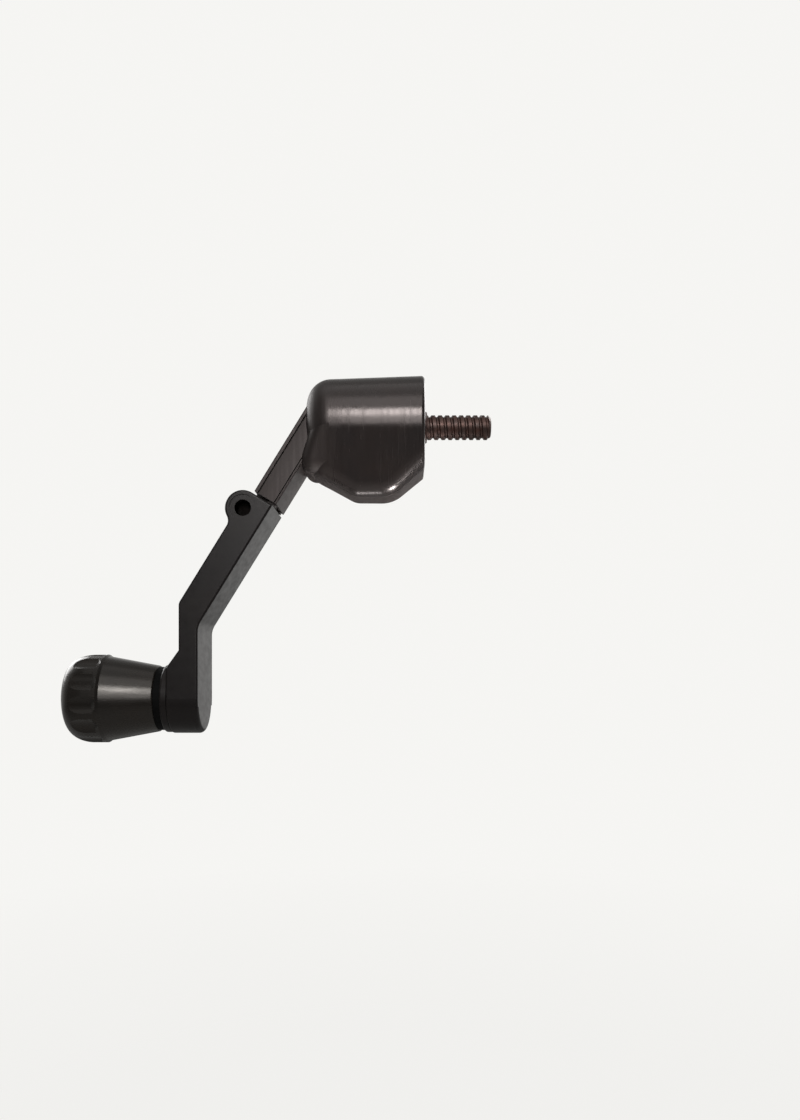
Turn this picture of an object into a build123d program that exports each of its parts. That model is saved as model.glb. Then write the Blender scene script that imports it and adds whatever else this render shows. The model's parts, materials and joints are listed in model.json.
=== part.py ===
"""Folding crank handle: a hub with a threaded stud, a hinged crank arm and a spinning knob.

Frame, in millimetres: the origin is where the stud's axis crosses the hub's seat face,
+X runs out along the stud, +Z is up and the arm hangs down to the left.
The hinge pin lies along Y, and the knob spins about an axis parallel to the stud.
"""
from build123d import *
import math
import os

os.makedirs("parts", exist_ok=True)

# ---------------------------------------------------------------- driving dimensions

# stud: M6 outside, held in the casting by a thicker shank
stud_radius = 3.0
stud_length = 16.6
stud_chamfer = 0.7
shank_radius = 3.8
shank_length = 18.0
shank_proud = 0.7
shank_chamfer = 0.2

# hub: a drafted barrel with straight walls closing down to a narrow keel
hub_length = 28.9
hub_radius_seat = 12.3
hub_radius_end = 11.3
keel_half_width = 6.4
keel_depth = 18.2
keel_heel_x = -17.2
keel_chin_x = -7.7
seat_bottom = -11.4
throat_x = -27.0
throat_z = -12.6
throat_round = 10.0
heel_round = 5.0
chin_round = 8.0
end_round = 6.0
keel_round = 4.5
seat_round = 0.8
web_top = (-22.9, -2.0)
web_shoulder = (-28.0, -3.5)
web_foot_x = -31.5
web_inset = 0.85
web_round = 3.0
web_keel_round = 4.0

# hinge: the pin's centre, and the lean of the link and the arm from the vertical
pin_x = -43.9
pin_z = -21.6
lean = 31.7
pin_radius = 2.0
pin_length = 10.6
pin_chamfer = 0.3
pin_clearance = 0.05
eye_radius = 4.3
spot_face_radius = 3.25
spot_face_depth = 0.3

# link: the hub's short upper limb, with a slanting panel between two grooves on both faces
link_half_width = 7.0
link_left = -0.1
link_right = 6.15
link_top = 30.0
link_round = 0.3
groove_left = 0.75
groove_right = 5.65
groove_depth = 0.8
panel_left = 1.15
panel_right = 5.4
panel_drop = 0.3
butt_gap = 0.8
stop_gap = 0.15
stop_start = 3.6
stop_end = 5.4
stop_left = 3.8
stop_right = 5.85

# tongue: the hub's hinge lug, between two washers inside the arm's slot
tongue_half_width = 2.75
tongue_right = 3.2
tongue_top = 7.0
knuckle_radius = 3.5
washer_start = 2.8
hinge_washer_radius = 3.4

# crank arm: leans from the hinge, then hangs straight down to the knob's boss
arm_half_width = 8.6
arm_head_z = -10.0
arm_left = -1.1
arm_right = 5.8
slot_half_width = 3.2
slot_radius = 3.8
slot_right = 3.5
slot_foot_right = 0.4
slot_foot_depth = 6.2
slot_reach = 9.0
post_left_x = -59.35
post_right_x = -54.7
knob_z = -67.65
block_x = -62.5
slope_top_z = -55.9
slope_foot_z = -60.3
collar_x = -64.2
collar_radius = 8.4
collar_round = 0.5
arm_round = 0.5
bend_round = 2.0
bend_hollow_round = 5.0
crotch_round = 2.5
toe_round = 1.3
toe_start = 1.9
seam_tolerance = 0.05

# knob, its shoulder screw and its washer
spin_clearance = 0.05
knob_inner_x = -65.8
knob_inner_radius = 8.2
knob_inner_round = 0.4
knob_washer_radius = 7.9
washer_thickness = 1.55
knob_cone_x = -78.1
knob_cone_radius = 10.5
knob_land_x = -78.7
knob_land_radius = 10.96
knob_dome_x = -82.0
knob_tip_x = -88.0
knob_dome_rise = 4.0
flute_count = 12
flute_first_angle = -7.6
flute_radius = 4.6
flute_depth = 0.7
flute_end_x = -78.7
flute_runout = 1.0
shoulder_radius = 3.0
shoulder_end_x = -80.2
head_recess_radius = 5.0
screw_thread_radius = 2.5
screw_thread_end_x = -57.5
screw_head_radius = 4.5
screw_head_thickness = 3.0
screw_socket_size = 4.0
screw_socket_depth = 2.0
head_chamfer = 0.5
thread_gap = 0.5

# ---------------------------------------------------------------- shared geometry

lean_sin = math.sin(math.radians(lean))
lean_cos = math.cos(math.radians(lean))


def at_limb(across, along):
    """The point (x, z) this far across and along the leaning limb from the pin's centre."""
    x = pin_x + across * lean_cos + along * lean_sin
    z = pin_z - across * lean_sin + along * lean_cos
    return x, z


def along_at_x(across, x):
    """How far along the limb a line at this distance across reaches x."""
    return (x - pin_x - across * lean_cos) / lean_sin


# local x runs across the limb to the right, local y up along it
limb_plane = Plane(origin=(pin_x, 0, pin_z), x_dir=(lean_cos, 0, -lean_sin), z_dir=(0, -1, 0))
# across the limb where the link ends: local x as above, local y along the hinge pin
link_foot = at_limb(0, eye_radius + butt_gap)
link_foot_plane = Plane(origin=(link_foot[0], 0, link_foot[1]), x_dir=limb_plane.x_dir,
                        z_dir=limb_plane.y_dir)
# local x is the part's x, local y the distance from the knob's axis
spin_plane = Plane(origin=(0, 0, knob_z), x_dir=(1, 0, 0), z_dir=(0, -1, 0))
spin_axis = Axis((0, 0, knob_z), (1, 0, 0))

# ---------------------------------------------------------------- hub

keel_reach = math.hypot(keel_half_width, keel_depth)
touch_angle = math.atan2(-keel_depth, keel_half_width) + math.acos(hub_radius_seat / keel_reach)
wall_top_y = hub_radius_seat * math.cos(touch_angle)
wall_top_z = hub_radius_seat * math.sin(touch_angle)
wall_lean = (wall_top_y - keel_half_width) / (wall_top_z + keel_depth + 2)
draft = math.degrees(math.atan((hub_radius_seat - hub_radius_end) / hub_length))
seat_plane = Plane(origin=(0, 0, 0), x_dir=(0, -1, 0), z_dir=(-1, 0, 0))
outline_margin = 10.0
web_wide = wall_top_y - web_inset + (web_top[1] - wall_top_z) * wall_lean
web_narrow = web_wide - (web_top[1] - throat_z) * wall_lean

with BuildPart() as web:
    # seen from the side it closes the corner between barrel, throat and link
    with BuildSketch(Plane.XZ):
        Polygon(web_top, web_shoulder, (web_foot_x, throat_z), (web_top[0], throat_z), align=None)
    extrude(amount=hub_radius_seat, both=True)
    # seen from the end it narrows downwards with the hub's walls and is rounded like the keel
    with BuildSketch(Plane.YZ.offset(web_foot_x)) as web_end:
        Polygon((-web_wide, web_top[1]), (web_wide, web_top[1]), (web_narrow, throat_z),
                (-web_narrow, throat_z), align=None)
        fillet(web_end.vertices().group_by(Axis.Y)[0], radius=web_keel_round)
    extrude(amount=web_top[0] - web_foot_x, mode=Mode.INTERSECT)
    left_edges = web.edges().filter_by(
        lambda e: e.center().X < web_shoulder[0] - 0.1 and abs(e.center().Y) > 0.5)
    fillet(left_edges, radius=web_round)

with BuildPart() as hub:
    # barrel and walls, drawn on the seat face and drafted towards the far end
    with BuildSketch(seat_plane):
        with BuildLine():
            ThreePointArc((wall_top_y, wall_top_z), (0, hub_radius_seat), (-wall_top_y, wall_top_z))
            Line((-wall_top_y, wall_top_z), (-keel_half_width, -keel_depth - 2))
            Line((-keel_half_width, -keel_depth - 2), (keel_half_width, -keel_depth - 2))
            Line((keel_half_width, -keel_depth - 2), (wall_top_y, wall_top_z))
        make_face()
    extrude(amount=hub_length, taper=draft)
    # side outline: a throat, a keel and a chin that rises to the seat
    with BuildSketch(Plane.XZ):
        with BuildLine():
            left = -hub_length - outline_margin
            top = hub_radius_seat + outline_margin
            FilletPolyline((left, throat_z), (throat_x, throat_z), (keel_heel_x, -keel_depth),
                           (keel_chin_x, -keel_depth), (0, seat_bottom),
                           radius=[throat_round, heel_round, chin_round])
            Polyline((0, seat_bottom), (0, top), (left, top), (left, throat_z))
        make_face()
    extrude(amount=hub_radius_seat + outline_margin, both=True, mode=Mode.INTERSECT)
    far_end = hub.faces().sort_by(Axis.X)[0]
    fillet(far_end.edges().sort_by(Axis.Z)[1:], radius=end_round)
    lower_edges = hub.edges().filter_by(lambda e: e.bounding_box().max.Z < seat_bottom + 0.2)
    keel_edges = lower_edges.filter_by(
        lambda e: abs(e.center().Y) > keel_half_width - 2 and abs(e.tangent_at(0.5).X) > 0.3)
    fillet(keel_edges, radius=keel_round)
    seat_edges = hub.faces().sort_by(Axis.X)[-1].edges()
    fillet(seat_edges.sort_by(Axis.Z)[1:], radius=seat_round)
    # web that carries the walls and the throat down onto the link
    add(web.part)
    # link, ending square just above the arm; each face's panel drops a little towards its left groove
    with BuildSketch(link_foot_plane):
        with Locations(((link_left + link_right) / 2, 0)):
            RectangleRounded(link_right - link_left, 2 * link_half_width, link_round)
        for side in (-1, 1):
            face = side * link_half_width
            low = side * (link_half_width - panel_drop)
            middle = side * (link_half_width - panel_drop / 4)
            bed = side * (link_half_width - groove_depth)
            with Locations(((groove_left + groove_right) / 2, (face + bed) / 2)):
                Rectangle(groove_right - groove_left, groove_depth, mode=Mode.SUBTRACT)
            with BuildLine():
                ThreePointArc((panel_left, low), ((panel_left + panel_right) / 2, middle),
                              (panel_right, face))
                Polyline((panel_right, face), (panel_right, 0), (panel_left, 0), (panel_left, low))
            make_face()
    extrude(amount=link_top - eye_radius - butt_gap)
    # two stop pads under the link, which the arm's head comes up against
    with BuildSketch(link_foot_plane):
        with Locations(*[((stop_left + stop_right) / 2, side * (stop_start + stop_end) / 2)
                         for side in (-1, 1)]):
            Rectangle(stop_right - stop_left, stop_end - stop_start)
    extrude(amount=stop_gap - butt_gap)
    # tongue: a flat lug with a round knuckle about the pin
    with BuildSketch(limb_plane):
        Circle(knuckle_radius)
        with Locations(((link_left + tongue_right) / 2, tongue_top / 2)):
            Rectangle(tongue_right - link_left, tongue_top)
    extrude(amount=tongue_half_width, both=True)
    with BuildSketch(limb_plane):
        Circle(pin_radius + pin_clearance)
    extrude(amount=link_half_width, both=True, mode=Mode.SUBTRACT)
    with BuildSketch(Plane.YZ):
        Circle(shank_radius)
    extrude(amount=-shank_length, mode=Mode.SUBTRACT)
hub.part.label = "hub"
export_step(hub.part, "parts/hub.step")

# ---------------------------------------------------------------- stud

with BuildPart() as stud:
    with BuildSketch(Plane.YZ.offset(-shank_length)):
        Circle(shank_radius)
    extrude(amount=shank_length + shank_proud)
    chamfer(stud.edges().sort_by(Axis.X)[-1], length=shank_chamfer)
    with BuildSketch(Plane.YZ):
        Circle(stud_radius)
    extrude(amount=stud_length)
    chamfer(stud.edges().sort_by(Axis.X)[-1], length=stud_chamfer)
stud.part.label = "stud"
export_step(stud.part, "parts/stud.step")

# ---------------------------------------------------------------- hinge pin and its washers

with BuildPart() as hinge_pin:
    with BuildSketch(limb_plane):
        Circle(pin_radius)
    extrude(amount=pin_length / 2, both=True)
    chamfer(hinge_pin.edges().filter_by(GeomType.CIRCLE), length=pin_chamfer)
hinge_pin.part.label = "hinge_pin"
export_step(hinge_pin.part, "parts/hinge_pin.step")

for washer_name, washer_side in (("hinge_washer_front", -1), ("hinge_washer_back", 1)):
    washer_plane = Plane(origin=(pin_x, washer_side * washer_start, pin_z),
                         x_dir=(1, 0, 0), z_dir=(0, washer_side, 0))
    with BuildPart() as hinge_washer:
        with BuildSketch(washer_plane):
            Circle(hinge_washer_radius)
            Circle(pin_radius + pin_clearance, mode=Mode.SUBTRACT)
        extrude(amount=slot_half_width - washer_start)
    hinge_washer.part.label = washer_name
    export_step(hinge_washer.part, f"parts/{washer_name}.step")

# ---------------------------------------------------------------- crank arm

arm_foot_z = knob_z - arm_half_width
bend_left = at_limb(arm_left, along_at_x(arm_left, post_left_x))
bend_right = at_limb(arm_right, along_at_x(arm_right, post_right_x))
crotch = at_limb(arm_left, -math.sqrt(eye_radius**2 - arm_left**2))

# ring that rounds the foot's outer rim, from a little below the knob's axis down
with BuildPart() as toe_cutter:
    with BuildSketch(spin_plane):
        with BuildLine():
            rim_x = post_right_x - toe_round
            rim_radius = arm_half_width - toe_round
            CenterArc((rim_x, rim_radius), toe_round, 0, 90)
            Polyline((rim_x, arm_half_width), (rim_x, arm_half_width + 1),
                     (post_right_x + 1, arm_half_width + 1), (post_right_x + 1, rim_radius),
                     (post_right_x, rim_radius))
        make_face()
    revolve(axis=spin_axis)
    split(bisect_by=Plane(origin=(0, 0, knob_z - toe_start), z_dir=(0, 0, -1)), keep=Keep.TOP)

with BuildPart() as crank_arm:
    # side outline: eye, leaning limb, upright post and the block behind the knob
    with BuildSketch(Plane.XZ) as arm_side:
        with BuildLine():
            Polyline(at_limb(0, eye_radius), at_limb(arm_right, eye_radius), bend_right,
                     (post_right_x, arm_foot_z), (block_x, arm_foot_z), (block_x, slope_foot_z),
                     (post_left_x, slope_top_z), bend_left, at_limb(arm_left, 0),
                     at_limb(0, eye_radius))
        make_face()
        with Locations((pin_x, pin_z)):
            Circle(eye_radius)
        for corner, corner_round in ((bend_left, bend_round), (bend_right, bend_hollow_round),
                                     (crotch, crotch_round)):
            fillet(arm_side.vertices().sort_by_distance((corner[0], corner[1], 0))[0], corner_round)
    extrude(amount=arm_half_width, both=True)
    # seen from the end the post has straight sides and a round foot
    with BuildSketch(Plane.YZ.offset(collar_x)):
        with Locations((0, knob_z)):
            Circle(arm_half_width)
        with Locations((0, (knob_z + arm_head_z) / 2)):
            Rectangle(2 * arm_half_width, arm_head_z - knob_z)
    extrude(amount=-collar_x, mode=Mode.INTERSECT)
    # soften the rims of both broad faces; the round foot has no rim of its own there
    broad_rims = crank_arm.faces().filter_by(Plane.XZ).edges()
    foot_seams = broad_rims.filter_by(lambda e: abs(e.center().Z - knob_z) < seam_tolerance)
    fillet(broad_rims - foot_seams, radius=arm_round)
    add(toe_cutter.part, mode=Mode.SUBTRACT)
    # round collar that the knob's washer runs against
    with BuildSketch(Plane.YZ.offset(collar_x)):
        with Locations((0, knob_z)):
            Circle(collar_radius)
    extrude(amount=block_x - collar_x)
    fillet(crank_arm.edges().filter_by(GeomType.CIRCLE).sort_by(Axis.X)[0], radius=collar_round)
    # slot for the tongue, open above and to the left so that the arm can fold up
    with BuildSketch(limb_plane):
        Circle(slot_radius)
        with Locations((slot_right - slot_reach / 2, slot_reach / 2)):
            Rectangle(slot_reach, slot_reach)
        with Locations((slot_foot_right - slot_reach / 2, -slot_foot_depth / 2)):
            Rectangle(slot_reach, slot_foot_depth)
    extrude(amount=slot_half_width, both=True, mode=Mode.SUBTRACT)
    # pin bore through both ears, with a shallow spot face round each mouth
    with BuildSketch(limb_plane):
        Circle(pin_radius)
    extrude(amount=arm_half_width, both=True, mode=Mode.SUBTRACT)
    for side in (-1, 1):
        with BuildSketch(limb_plane.offset(side * arm_half_width)):
            Circle(spot_face_radius)
        extrude(amount=-side * spot_face_depth, mode=Mode.SUBTRACT)
    # blind bore for the knob's screw
    with BuildSketch(Plane.YZ.offset(collar_x)):
        with Locations((0, knob_z)):
            Circle(screw_thread_radius)
    extrude(amount=screw_thread_end_x - collar_x, mode=Mode.SUBTRACT)
crank_arm.part.label = "crank_arm"
export_step(crank_arm.part, "parts/crank_arm.step")

# ---------------------------------------------------------------- knob

# one flute's cutter: a rod parallel to the knob's axis, coned where the flute runs out
flute_reach = knob_land_radius - flute_depth + flute_radius
with BuildPart() as flute_cutter:
    with BuildSketch(spin_plane):
        with BuildLine():
            Polyline((knob_tip_x - 1, 0), (knob_tip_x - 1, flute_radius),
                     (flute_end_x - flute_runout, flute_radius),
                     (flute_end_x, flute_radius - flute_depth), (flute_end_x, 0),
                     (knob_tip_x - 1, 0))
        make_face()
    revolve(axis=spin_axis)

with BuildPart() as knob:
    # half profile: bore, inner face, cone, land, domed nose and the screw head's recess
    with BuildSketch(spin_plane):
        with BuildLine():
            Polyline((shoulder_end_x, shoulder_radius + spin_clearance),
                     (knob_inner_x, shoulder_radius + spin_clearance),
                     (knob_inner_x, knob_inner_radius), (knob_cone_x, knob_cone_radius),
                     (knob_land_x, knob_land_radius), (knob_dome_x, knob_land_radius))
            EllipticalCenterArc((knob_dome_x, knob_land_radius - knob_dome_rise),
                                x_radius=knob_dome_x - knob_tip_x, y_radius=knob_dome_rise,
                                start_angle=90, arc_size=90)
            Polyline((knob_tip_x, knob_land_radius - knob_dome_rise),
                     (knob_tip_x, head_recess_radius),
                     (shoulder_end_x + spin_clearance, head_recess_radius),
                     (shoulder_end_x + spin_clearance, shoulder_radius + spin_clearance))
        make_face()
    revolve(axis=spin_axis)
    fillet(knob.edges().filter_by(GeomType.CIRCLE).group_by(Axis.X)[-1].sort_by(SortBy.RADIUS)[-1],
           radius=knob_inner_round)
    for number in range(flute_count):
        angle = math.radians(flute_first_angle + number * 360 / flute_count)
        with Locations((0, -flute_reach * math.cos(angle), flute_reach * math.sin(angle))):
            add(flute_cutter.part, mode=Mode.SUBTRACT)
knob.part.label = "knob"
export_step(knob.part, "parts/knob.step")

# ---------------------------------------------------------------- knob screw and washer

with BuildPart() as knob_screw:
    with BuildSketch(spin_plane):
        with BuildLine():
            head_end_x = shoulder_end_x - screw_head_thickness
            Polyline((screw_thread_end_x - thread_gap, 0),
                     (screw_thread_end_x - thread_gap, screw_thread_radius),
                     (collar_x, screw_thread_radius), (collar_x, shoulder_radius),
                     (shoulder_end_x, shoulder_radius), (shoulder_end_x, screw_head_radius),
                     (head_end_x, screw_head_radius), (head_end_x, 0),
                     (screw_thread_end_x - thread_gap, 0))
        make_face()
    revolve(axis=spin_axis)
    chamfer(knob_screw.edges().filter_by(GeomType.CIRCLE).sort_by(Axis.X)[0], length=head_chamfer)
    with BuildSketch(Plane.YZ.offset(head_end_x)):
        with Locations((0, knob_z)):
            RegularPolygon(radius=screw_socket_size / 2, side_count=6, major_radius=False)
    extrude(amount=screw_socket_depth, mode=Mode.SUBTRACT)
knob_screw.part.label = "knob_screw"
export_step(knob_screw.part, "parts/knob_screw.step")

with BuildPart() as knob_washer:
    with BuildSketch(Plane.YZ.offset(collar_x - washer_thickness)):
        with Locations((0, knob_z)):
            Circle(knob_washer_radius)
            Circle(shoulder_radius + spin_clearance, mode=Mode.SUBTRACT)
    extrude(amount=washer_thickness)
knob_washer.part.label = "knob_washer"
export_step(knob_washer.part, "parts/knob_washer.step")
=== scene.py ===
"""Looks of a folding crank handle: enamelled castings, a threaded stud and a fluted knob.

Everything is in metres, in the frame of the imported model: +X runs out along the stud, +Z is up.
"""
import math

import bpy
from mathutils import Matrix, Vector
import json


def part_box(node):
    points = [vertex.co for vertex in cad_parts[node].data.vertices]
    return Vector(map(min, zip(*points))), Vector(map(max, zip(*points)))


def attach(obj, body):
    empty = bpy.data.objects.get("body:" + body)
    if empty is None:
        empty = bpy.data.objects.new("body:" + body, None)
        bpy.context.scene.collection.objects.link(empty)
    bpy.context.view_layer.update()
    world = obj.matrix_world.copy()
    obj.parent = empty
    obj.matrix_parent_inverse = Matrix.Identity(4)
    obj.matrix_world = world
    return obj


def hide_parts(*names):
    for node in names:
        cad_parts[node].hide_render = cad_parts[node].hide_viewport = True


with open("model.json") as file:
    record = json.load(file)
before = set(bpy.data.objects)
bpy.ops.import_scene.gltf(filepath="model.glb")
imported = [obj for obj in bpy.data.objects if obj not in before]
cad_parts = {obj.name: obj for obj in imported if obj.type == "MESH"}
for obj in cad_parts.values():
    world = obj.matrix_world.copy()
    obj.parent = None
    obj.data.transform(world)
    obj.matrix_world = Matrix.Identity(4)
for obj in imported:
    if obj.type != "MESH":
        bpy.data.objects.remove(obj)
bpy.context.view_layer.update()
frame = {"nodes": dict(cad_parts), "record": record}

MM = 0.001
mounts = {mount["name"]: mount for mount in frame["record"]["mounts"]}

# ---------------------------------------------------------------- sizes

stud_low, stud_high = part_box("stud")
STUD_RADIUS = mounts["stud"]["dims"]["r_mm"] * MM
STUD_CHAMFER = 0.7 * MM
SHANK_PROUD = 0.7 * MM
SHANK_CHAMFER = 0.2 * MM
THREAD_PITCH = 1.75 * MM
THREAD_DEPTH = 0.45 * MM
THREAD_CREST = 0.80 * MM
THREAD_ROOT = 0.30 * MM
THREAD_STEPS = 64
# turns that the thread starts before the seat face, where it is cut off
THREAD_SPARE = 2
WELD_DISTANCE = 1e-7
RIM_TOLERANCE = 0.01 * MM

# ---------------------------------------------------------------- modelling helpers


def deselect_all():
    """Clears the selection, which an operator acts on as a whole."""
    bpy.ops.object.select_all(action="DESELECT")


def finish_piece(piece, name, smooth_angle=30):
    """Names the piece, puts its place into its mesh and smooths its round faces."""
    deselect_all()
    piece.name = name
    bpy.context.view_layer.objects.active = piece
    piece.select_set(True)
    bpy.ops.object.transform_apply(location=True, rotation=True, scale=True)
    bpy.ops.object.shade_smooth_by_angle(angle=math.radians(smooth_angle))
    return piece


def turned_rod(radius, start_x, end_x, sides=96):
    """A round rod along X."""
    deselect_all()
    bpy.ops.mesh.primitive_cylinder_add(vertices=sides, radius=radius, depth=end_x - start_x,
                                        location=((start_x + end_x) / 2, 0, 0),
                                        rotation=(0, math.pi / 2, 0))
    bpy.ops.object.transform_apply(location=True, rotation=True, scale=True)
    return bpy.context.object


def bevel_rim(rod, x, width):
    """Bevels the rod's rim at this x."""
    for edge in rod.data.edges:
        ends = [rod.data.vertices[v].co for v in edge.vertices]
        edge.select = all(abs(end.x - x) < RIM_TOLERANCE for end in ends)
    for face in rod.data.polygons:
        face.select = False
    bpy.context.view_layer.objects.active = rod
    bpy.ops.object.mode_set(mode="EDIT")
    bpy.ops.mesh.select_mode(type="EDGE")
    bpy.ops.mesh.bevel(offset=width, segments=1)
    bpy.ops.object.mode_set(mode="OBJECT")


# ---------------------------------------------------------------- stud


def thread_profile():
    """One tooth of the thread as a line of points along X, one pitch long."""
    deselect_all()
    bpy.ops.mesh.primitive_plane_add(size=MM, location=(0, 0, 0))
    profile = bpy.context.object
    flank = (THREAD_PITCH - THREAD_CREST - THREAD_ROOT) / 2
    bpy.ops.object.mode_set(mode="EDIT")
    bpy.ops.mesh.select_mode(type="VERT")
    bpy.ops.mesh.select_all(action="SELECT")
    bpy.ops.mesh.merge(type="CENTER")
    bpy.ops.transform.translate(value=(-THREAD_SPARE * THREAD_PITCH, 0, STUD_RADIUS))
    for along, out in ((THREAD_CREST, 0), (flank, -THREAD_DEPTH), (THREAD_ROOT, 0),
                       (flank, THREAD_DEPTH)):
        bpy.ops.mesh.extrude_vertices_move(TRANSFORM_OT_translate={"value": (along, 0, out)})
    bpy.ops.mesh.select_all(action="SELECT")
    bpy.ops.mesh.subdivide(number_cuts=2)
    bpy.ops.object.mode_set(mode="OBJECT")
    return profile


def model_thread(length):
    """The tooth swept along a helix, cut square at both ends and chamfered at the tip."""
    thread = thread_profile()
    screw = thread.modifiers.new("thread", "SCREW")
    screw.axis = "X"
    screw.screw_offset = THREAD_PITCH
    screw.steps = screw.render_steps = THREAD_STEPS
    screw.iterations = math.ceil(length / THREAD_PITCH) + THREAD_SPARE + 1
    bpy.ops.object.modifier_apply(modifier=screw.name)
    bpy.ops.object.mode_set(mode="EDIT")
    for cut_x, side in ((0, -1), (length, 1)):
        bpy.ops.mesh.select_all(action="SELECT")
        bpy.ops.mesh.bisect(plane_co=(cut_x, 0, 0), plane_no=(side, 0, 0), use_fill=True,
                            clear_outer=True, threshold=WELD_DISTANCE)
    bpy.ops.mesh.select_all(action="SELECT")
    bpy.ops.mesh.remove_doubles(threshold=WELD_DISTANCE)
    bpy.ops.mesh.normals_make_consistent(inside=False)
    bpy.ops.object.mode_set(mode="OBJECT")
    for vertex in thread.data.vertices:
        reach = math.hypot(vertex.co.y, vertex.co.z)
        allowed = STUD_RADIUS - max(0, STUD_CHAMFER - (length - vertex.co.x))
        if reach > allowed:
            vertex.co.y *= allowed / reach
            vertex.co.z *= allowed / reach
    return thread


def model_stud():
    """The threaded stud with its thicker shank, which stands a little out of the hub."""
    thread = model_thread(stud_high.x)
    shank = turned_rod(stud_high.y, stud_low.x, SHANK_PROUD)
    bevel_rim(shank, SHANK_PROUD, SHANK_CHAMFER)
    deselect_all()
    shank.select_set(True)
    thread.select_set(True)
    bpy.context.view_layer.objects.active = thread
    bpy.ops.object.join()
    stud = finish_piece(thread, "threaded_stud")
    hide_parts("stud")
    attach(stud, "hub")
    return stud


# ---------------------------------------------------------------- materials

# the hub's enamel is rougher on the link, short of this X, and on the faces that look down
LINK_END = -21 * MM
LINK_FADE = 8 * MM
LINK_DULLNESS = 0.28
UNDERSIDE_DULLNESS = 0.65
# where a face begins to look down, and to look along Y, by its normal's Z and Y
LOOKING_DOWN = (-0.70, -0.60)
LOOKING_ACROSS = (0.10, 0.25)


class Wiring:
    """A node tree with a few helpers to wire it."""

    def __init__(self, tree):
        self.tree = tree

    def add(self, kind):
        return self.tree.nodes.new("ShaderNode" + kind)

    def link(self, source, target):
        self.tree.links.new(source, target)

    def parts_of(self, vector):
        """The three parts of a vector, as outputs named X, Y and Z."""
        node = self.add("SeparateXYZ")
        self.link(vector, node.inputs["Vector"])
        return node.outputs

    def maths(self, operation, first, second=None):
        node = self.add("Math")
        node.operation = operation
        self.link(first, node.inputs[0])
        if second is not None:
            self.link(second, node.inputs[1])
        return node.outputs["Value"]

    def spread(self, source, low, high, from_low=0.3, from_high=0.7, soft=False):
        """Stretches a value, from its own range to the range low to high."""
        node = self.add("MapRange")
        if soft:
            node.interpolation_type = "SMOOTHSTEP"
        node.inputs["From Min"].default_value = from_low
        node.inputs["From Max"].default_value = from_high
        node.inputs["To Min"].default_value = low
        node.inputs["To Max"].default_value = high
        self.link(source, node.inputs["Value"])
        return node.outputs["Result"]


class Finish(Wiring):
    """A Principled material with its procedural detail."""

    def __init__(self, name, color, roughness, metallic=0.0, specular=0.5):
        self.material = bpy.data.materials.new(name)
        self.material.use_nodes = True
        super().__init__(self.material.node_tree)
        self.shader = self.tree.nodes["Principled BSDF"]
        self.shader.inputs["Base Color"].default_value = (*color, 1)
        self.shader.inputs["Roughness"].default_value = roughness
        self.shader.inputs["Metallic"].default_value = metallic
        self.shader.inputs["Specular IOR Level"].default_value = specular
        self.color = color
        texture = self.add("TexCoord")
        self.coordinates = texture.outputs["Object"]
        self.facing = texture.outputs["Normal"]

    def stretched(self, scale):
        """Object coordinates scaled by a different amount along each axis."""
        mapping = self.add("Mapping")
        mapping.inputs["Scale"].default_value = scale
        self.link(self.coordinates, mapping.inputs["Vector"])
        return mapping.outputs["Vector"]

    def noise(self, scale, detail=3, roughness=0.55, vector=None):
        node = self.add("TexNoise")
        node.inputs["Scale"].default_value = scale
        node.inputs["Detail"].default_value = detail
        node.inputs["Roughness"].default_value = roughness
        self.link(vector or self.coordinates, node.inputs["Vector"])
        return node.outputs["Fac"]

    def underside(self):
        """One on the faces that look down, whether straight or along X, and nothing elsewhere."""
        facing = self.parts_of(self.facing)
        down = self.spread(facing["Z"], 1, 0, *LOOKING_DOWN)
        square = self.spread(self.maths("ABSOLUTE", facing["Y"]), 1, 0, *LOOKING_ACROSS)
        return self.maths("MULTIPLY", down, square)

    def tint(self, factor, shares):
        """Mixes the colour, with its channels multiplied by the shares, into itself."""
        node = self.add("Mix")
        node.data_type = "RGBA"
        self.link(factor, node.inputs["Factor"])
        plain, tinted = node.inputs[6], node.inputs[7]
        plain.default_value = (*self.color, 1)
        second = [channel * share for channel, share in zip(self.color, shares)]
        tinted.default_value = (*second, 1)
        self.link(node.outputs[2], self.shader.inputs["Base Color"])

    def bump(self, height, distance, strength=1.0, below=None):
        """Raises the surface by the height, on top of the bump below."""
        node = self.add("Bump")
        node.inputs["Strength"].default_value = strength
        node.inputs["Distance"].default_value = distance
        self.link(height, node.inputs["Height"])
        if below is not None:
            self.link(below, node.inputs["Normal"])
        self.link(node.outputs["Normal"], self.shader.inputs["Normal"])
        return node.outputs["Normal"]


def enamel(name, color, roughness, specular, sheen, streaks, dull_link=False):
    """Dark bronze enamel on a casting: cloudy, with polishing streaks and a fine orange peel."""
    finish = Finish(name, color, roughness, specular=specular)
    finish.shader.inputs["Specular Tint"].default_value = (*sheen, 1)
    clouds = finish.noise(scale=90, detail=4)
    finish.tint(finish.spread(clouds, 0, 0.8), shares=(1.35, 1.2, 1.1))
    streak = finish.noise(scale=1, detail=4, vector=finish.stretched(streaks))
    polish = finish.spread(streak, roughness - 0.04, roughness + 0.05)
    if dull_link:
        along = finish.parts_of(finish.coordinates)["X"]
        link = finish.spread(along, LINK_DULLNESS, 0, LINK_END - LINK_FADE, LINK_END)
        below = finish.spread(finish.underside(), 0, UNDERSIDE_DULLNESS, 0, 1)
        polish = finish.maths("ADD", polish, finish.maths("ADD", link, below))
    finish.link(polish, finish.shader.inputs["Roughness"])
    peel = finish.bump(finish.noise(scale=900, detail=2), distance=0.02 * MM, strength=0.35)
    dust = finish.noise(scale=5000, detail=2)
    finish.bump(dust, distance=0.006 * MM, strength=0.5, below=peel)
    return finish.material


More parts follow.
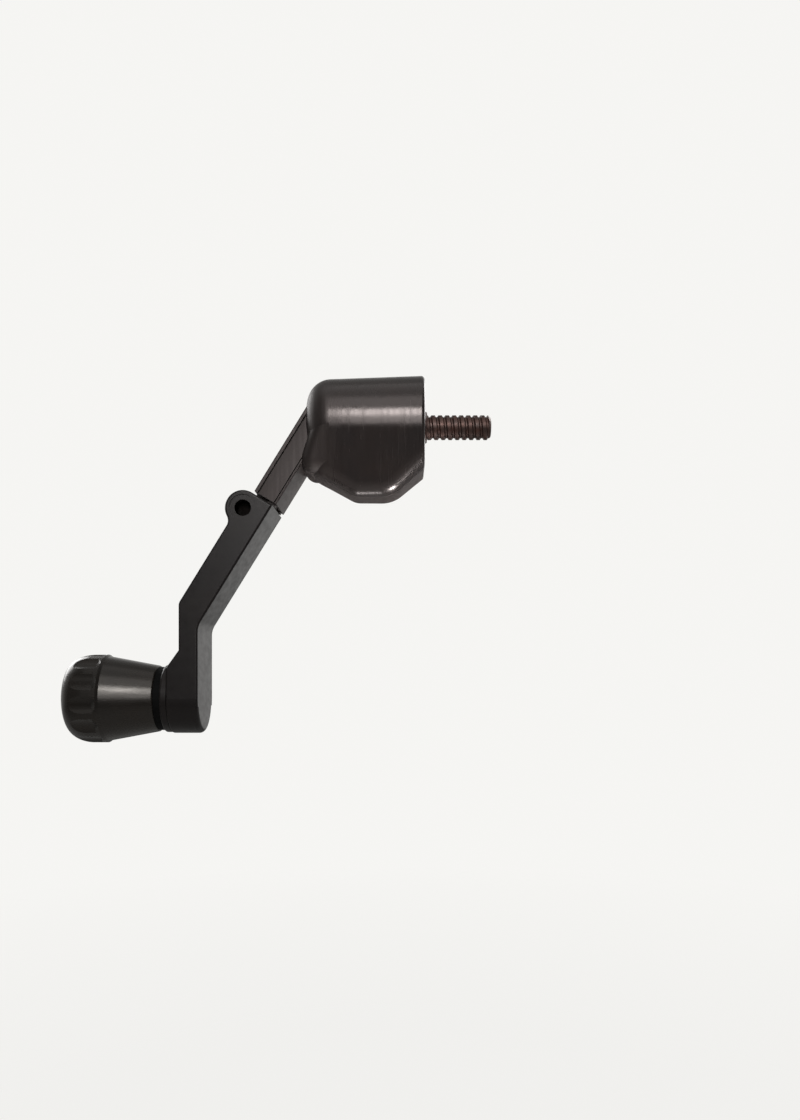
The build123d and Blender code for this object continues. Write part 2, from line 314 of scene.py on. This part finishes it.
def blackened_steel(name, color, roughness, specular=0.4):
    """Chemically blackened steel: dark, half metallic and a little uneven."""
    finish = Finish(name, color, roughness, metallic=0.55, specular=specular)
    rust = finish.noise(scale=600, detail=4)
    finish.tint(finish.spread(rust, 0, 0.9), shares=(1.7, 1.15, 1.0))
    finish.link(finish.spread(finish.noise(scale=1800), roughness - 0.08, roughness + 0.1),
                finish.shader.inputs["Roughness"])
    finish.bump(finish.noise(scale=4000, detail=3), distance=0.01 * MM, strength=0.6)
    return finish.material


def moulded_plastic(name, color):
    """Matte black washer plastic with a fine moulded grain, in the near-black colour that it is
    given, which is also painted shade.
    """
    finish = Finish(name, color, roughness=0.7, specular=0.06)
    finish.tint(finish.spread(finish.noise(scale=700), 0, 1), shares=(1.5, 1.5, 1.5))
    finish.bump(finish.noise(scale=6000, detail=2), distance=0.01 * MM, strength=0.5)
    return finish.material


def give_finish(piece, material):
    """Leaves the piece with this one material."""
    piece.data.materials.clear()
    piece.data.materials.append(material)


def colour_pieces(stud):
    """Assigns each piece its finish."""
    nodes = frame["nodes"]
    give_finish(nodes["hub"], enamel(
        "hub_enamel", (0.0145, 0.0122, 0.0119), roughness=0.24, specular=0.44,
        sheen=(1, 0.88, 0.85), streaks=(1500, 300, 60), dull_link=True))
    give_finish(nodes["crank_arm"], enamel(
        "arm_enamel", (0.0095, 0.0087, 0.0087), roughness=0.32, specular=0.16,
        sheen=(1, 0.96, 0.95), streaks=(700, 300, 700)))
    give_finish(nodes["knob"], enamel(
        "knob_enamel", (0.0100, 0.0090, 0.0082), roughness=0.26, specular=0.33,
        sheen=(1, 0.94, 0.88), streaks=(60, 900, 900)))
    give_finish(stud, blackened_steel("stud_blackened", (0.048, 0.033, 0.029), roughness=0.40))
    # painted shade: the pin's steel is near-black, far darker than the stud's blackening, so that
    # the pin's end deep in its hole stands for the hole's shade; the hinge washers and the knob's
    # screw share it
    pin_steel_and_hole_shade = blackened_steel("pin_blackened_and_hole_shade", (0.0015, 0.0012, 0.001), roughness=0.5,
                                specular=0.05)
    for name in ("hinge_pin", "hinge_washer_front", "hinge_washer_back", "knob_screw"):
        give_finish(nodes[name], pin_steel_and_hole_shade)
    # painted shade: the washer is black plastic darkened further, so that it stands for the deep
    # shade in the gap between the knob and the arm
    give_finish(nodes["knob_washer"],
                moulded_plastic("washer_plastic", (0.0025, 0.0025, 0.0025)))


# ---------------------------------------------------------------- floor, light and camera

BACKDROP = (0.918, 0.913, 0.893)
FLOOR_Z = -0.20
FLOOR_REACH = 0.45
FLOOR_FADE_START = 0.3 * FLOOR_REACH
FLOOR_TONE = (0.35, 0.348, 0.340)
# how much of the floor that the camera sees is the backdrop's plain colour
FLOOR_GLOW = 0.92

# how strongly the room lights the object from each side, where the backdrop itself is 1
ROOM_BACK = 0.88
ROOM_FRONT = 0.12
ROOM_BELOW = 0.03
ROOM_SIDES = 0.50
ROOM_OVERHEAD = 0.35
# where one turns into the other, as part of a direction one long
FRONT_TO_BACK = (-0.35, 0.25)
BELOW_TO_LEVEL = (-0.26, -0.10)
LEVEL_TO_OVERHEAD = (0.30, 0.80)
MIDDLE_TO_SIDES = (0.35, 0.80)

LAMP_AIM = (-0.035, 0, -0.02)
# name, place, width and height, power in watts
LAMPS = (
    ("key", (-0.045, -0.547, 0.20), (0.13, 0.15), 1.5),
    ("shoulder", (-0.045, -0.547, 0.03), (0.13, 0.17), 0.42),
    ("upper", (-0.035, -0.34, 0.36), (0.30, 0.20), 0.42),
    ("top", (-0.035, -0.10, 0.50), (0.5, 0.4), 0.42),
    ("back_left", (-0.455, 0.36, 0.20), (0.35, 0.30), 1.5),
    ("back_right", (0.385, 0.36, 0.20), (0.35, 0.30), 2.6),
)
# the spot on the keel that the narrow lamps light: short of the hub's seat face, above its foot
KEEL_FROM_SEAT = 12 * MM
KEEL_RISE = 5 * MM
# name, place from that spot, width and height, power in watts, spread in degrees
KEEL_LAMPS = (
    ("leaf_lamp", (0.066, -0.005, -0.148), (0.05, 0.04), 0.0088, 13),
    ("under_lamp", (-0.022, 0.040, -0.152), (0.025, 0.04), 0.0006, 10),
)

CAMERA_PLACE = Vector((-6, -225, -64.3)) * MM
# the lens in millimetres, and the shift as a part of the frame's height
CAMERA_LENS = 36 * 900 / 1120
CAMERA_RISE = 125 / 1120
CAMERA_NEAREST = 0.01


def make_floor():
    """A pale floor that keeps soft shadows and fades out into the backdrop."""
    deselect_all()
    bpy.ops.mesh.primitive_circle_add(vertices=96, radius=FLOOR_REACH, fill_type="NGON",
                                      location=(0, 0, FLOOR_Z))
    floor = bpy.context.object
    floor.name = "floor"
    finish = Finish("floor_paper", FLOOR_TONE, roughness=0.8, specular=0.0)
    glow = finish.add("Emission")
    glow.inputs["Color"].default_value = (*BACKDROP, 1)
    seen = finish.spread(finish.add("LightPath").outputs["Is Camera Ray"], 0, FLOOR_GLOW, 0, 1)
    lit = finish.add("MixShader")
    finish.link(seen, lit.inputs["Fac"])
    finish.link(finish.shader.outputs[0], lit.inputs[1])
    finish.link(glow.outputs[0], lit.inputs[2])
    reach = finish.add("VectorMath")
    reach.operation = "LENGTH"
    finish.link(finish.coordinates, reach.inputs[0])
    blend = finish.add("MixShader")
    finish.link(finish.spread(reach.outputs["Value"], 0, 1, FLOOR_FADE_START, FLOOR_REACH),
                blend.inputs["Fac"])
    finish.link(lit.outputs[0], blend.inputs[1])
    finish.link(finish.add("BsdfTransparent").outputs[0], blend.inputs[2])
    finish.link(blend.outputs[0], finish.tree.nodes["Material Output"].inputs["Surface"])
    give_finish(floor, finish.material)


def make_world():
    """A pale backdrop that lights from behind and above, with a dim room in front and below."""
    world = bpy.data.worlds.new("studio")
    bpy.context.scene.world = world
    world.use_nodes = True
    studio = Wiring(world.node_tree)
    background = studio.tree.nodes["Background"]
    background.inputs["Color"].default_value = (*BACKDROP, 1)
    towards = studio.parts_of(studio.add("TexCoord").outputs["Generated"])
    behind = studio.spread(towards["Y"], ROOM_FRONT, ROOM_BACK, *FRONT_TO_BACK, soft=True)
    above = studio.spread(towards["Z"], 0, 1, *BELOW_TO_LEVEL, soft=True)
    overhead = studio.spread(towards["Z"], 1, ROOM_OVERHEAD, *LEVEL_TO_OVERHEAD, soft=True)
    sides = studio.spread(studio.maths("ABSOLUTE", towards["X"]), ROOM_BELOW, ROOM_SIDES,
                          *MIDDLE_TO_SIDES, soft=True)
    level = studio.maths("MULTIPLY", behind, studio.maths("MAXIMUM", above, sides))
    room = studio.maths("MULTIPLY", level, overhead)
    strength = studio.add("Mix")
    seen, dim, plain = strength.inputs[0], strength.inputs[2], strength.inputs[3]
    plain.default_value = 1.0
    studio.link(studio.add("LightPath").outputs["Is Camera Ray"], seen)
    studio.link(room, dim)
    studio.link(strength.outputs[0], background.inputs["Strength"])


def make_lamp(name, place, aim, size, power, spread=180):
    """A soft rectangular lamp at a place, turned to what it lights."""
    data = bpy.data.lights.new(name, "AREA")
    data.shape = "RECTANGLE"
    data.size, data.size_y = size
    data.energy = power
    data.spread = math.radians(spread)
    lamp = bpy.data.objects.new(name, data)
    bpy.context.scene.collection.objects.link(lamp)
    lamp.location = place
    lamp.rotation_euler = (Vector(aim) - Vector(place)).to_track_quat("-Z", "Y").to_euler()
    lamp.visible_camera = False
    return lamp


def light_scene():
    """Lamps in front and overhead, two behind, and two narrow ones that glint on the keel."""
    for name, place, size, power in LAMPS:
        make_lamp(name, place, LAMP_AIM, size, power)
    hub_low, hub_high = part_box("hub")
    keel = Vector((hub_high.x - KEEL_FROM_SEAT, 0, hub_low.z + KEEL_RISE))
    for name, place, size, power, spread in KEEL_LAMPS:
        make_lamp(name, keel + Vector(place), keel, size, power, spread)


def make_camera():
    """A level camera in front, at the knob's height, whose view is shifted up towards the hub."""
    data = bpy.data.cameras.new("camera")
    data.lens = CAMERA_LENS
    data.shift_y = CAMERA_RISE
    data.clip_start = CAMERA_NEAREST
    camera = bpy.data.objects.new("camera", data)
    bpy.context.scene.collection.objects.link(camera)
    camera.location = CAMERA_PLACE
    camera.rotation_euler = (math.pi / 2, 0, 0)
    bpy.context.scene.camera = camera


colour_pieces(model_stud())
make_floor()
make_world()
light_scene()
make_camera()
bpy.context.scene.view_settings.view_transform = "Standard"
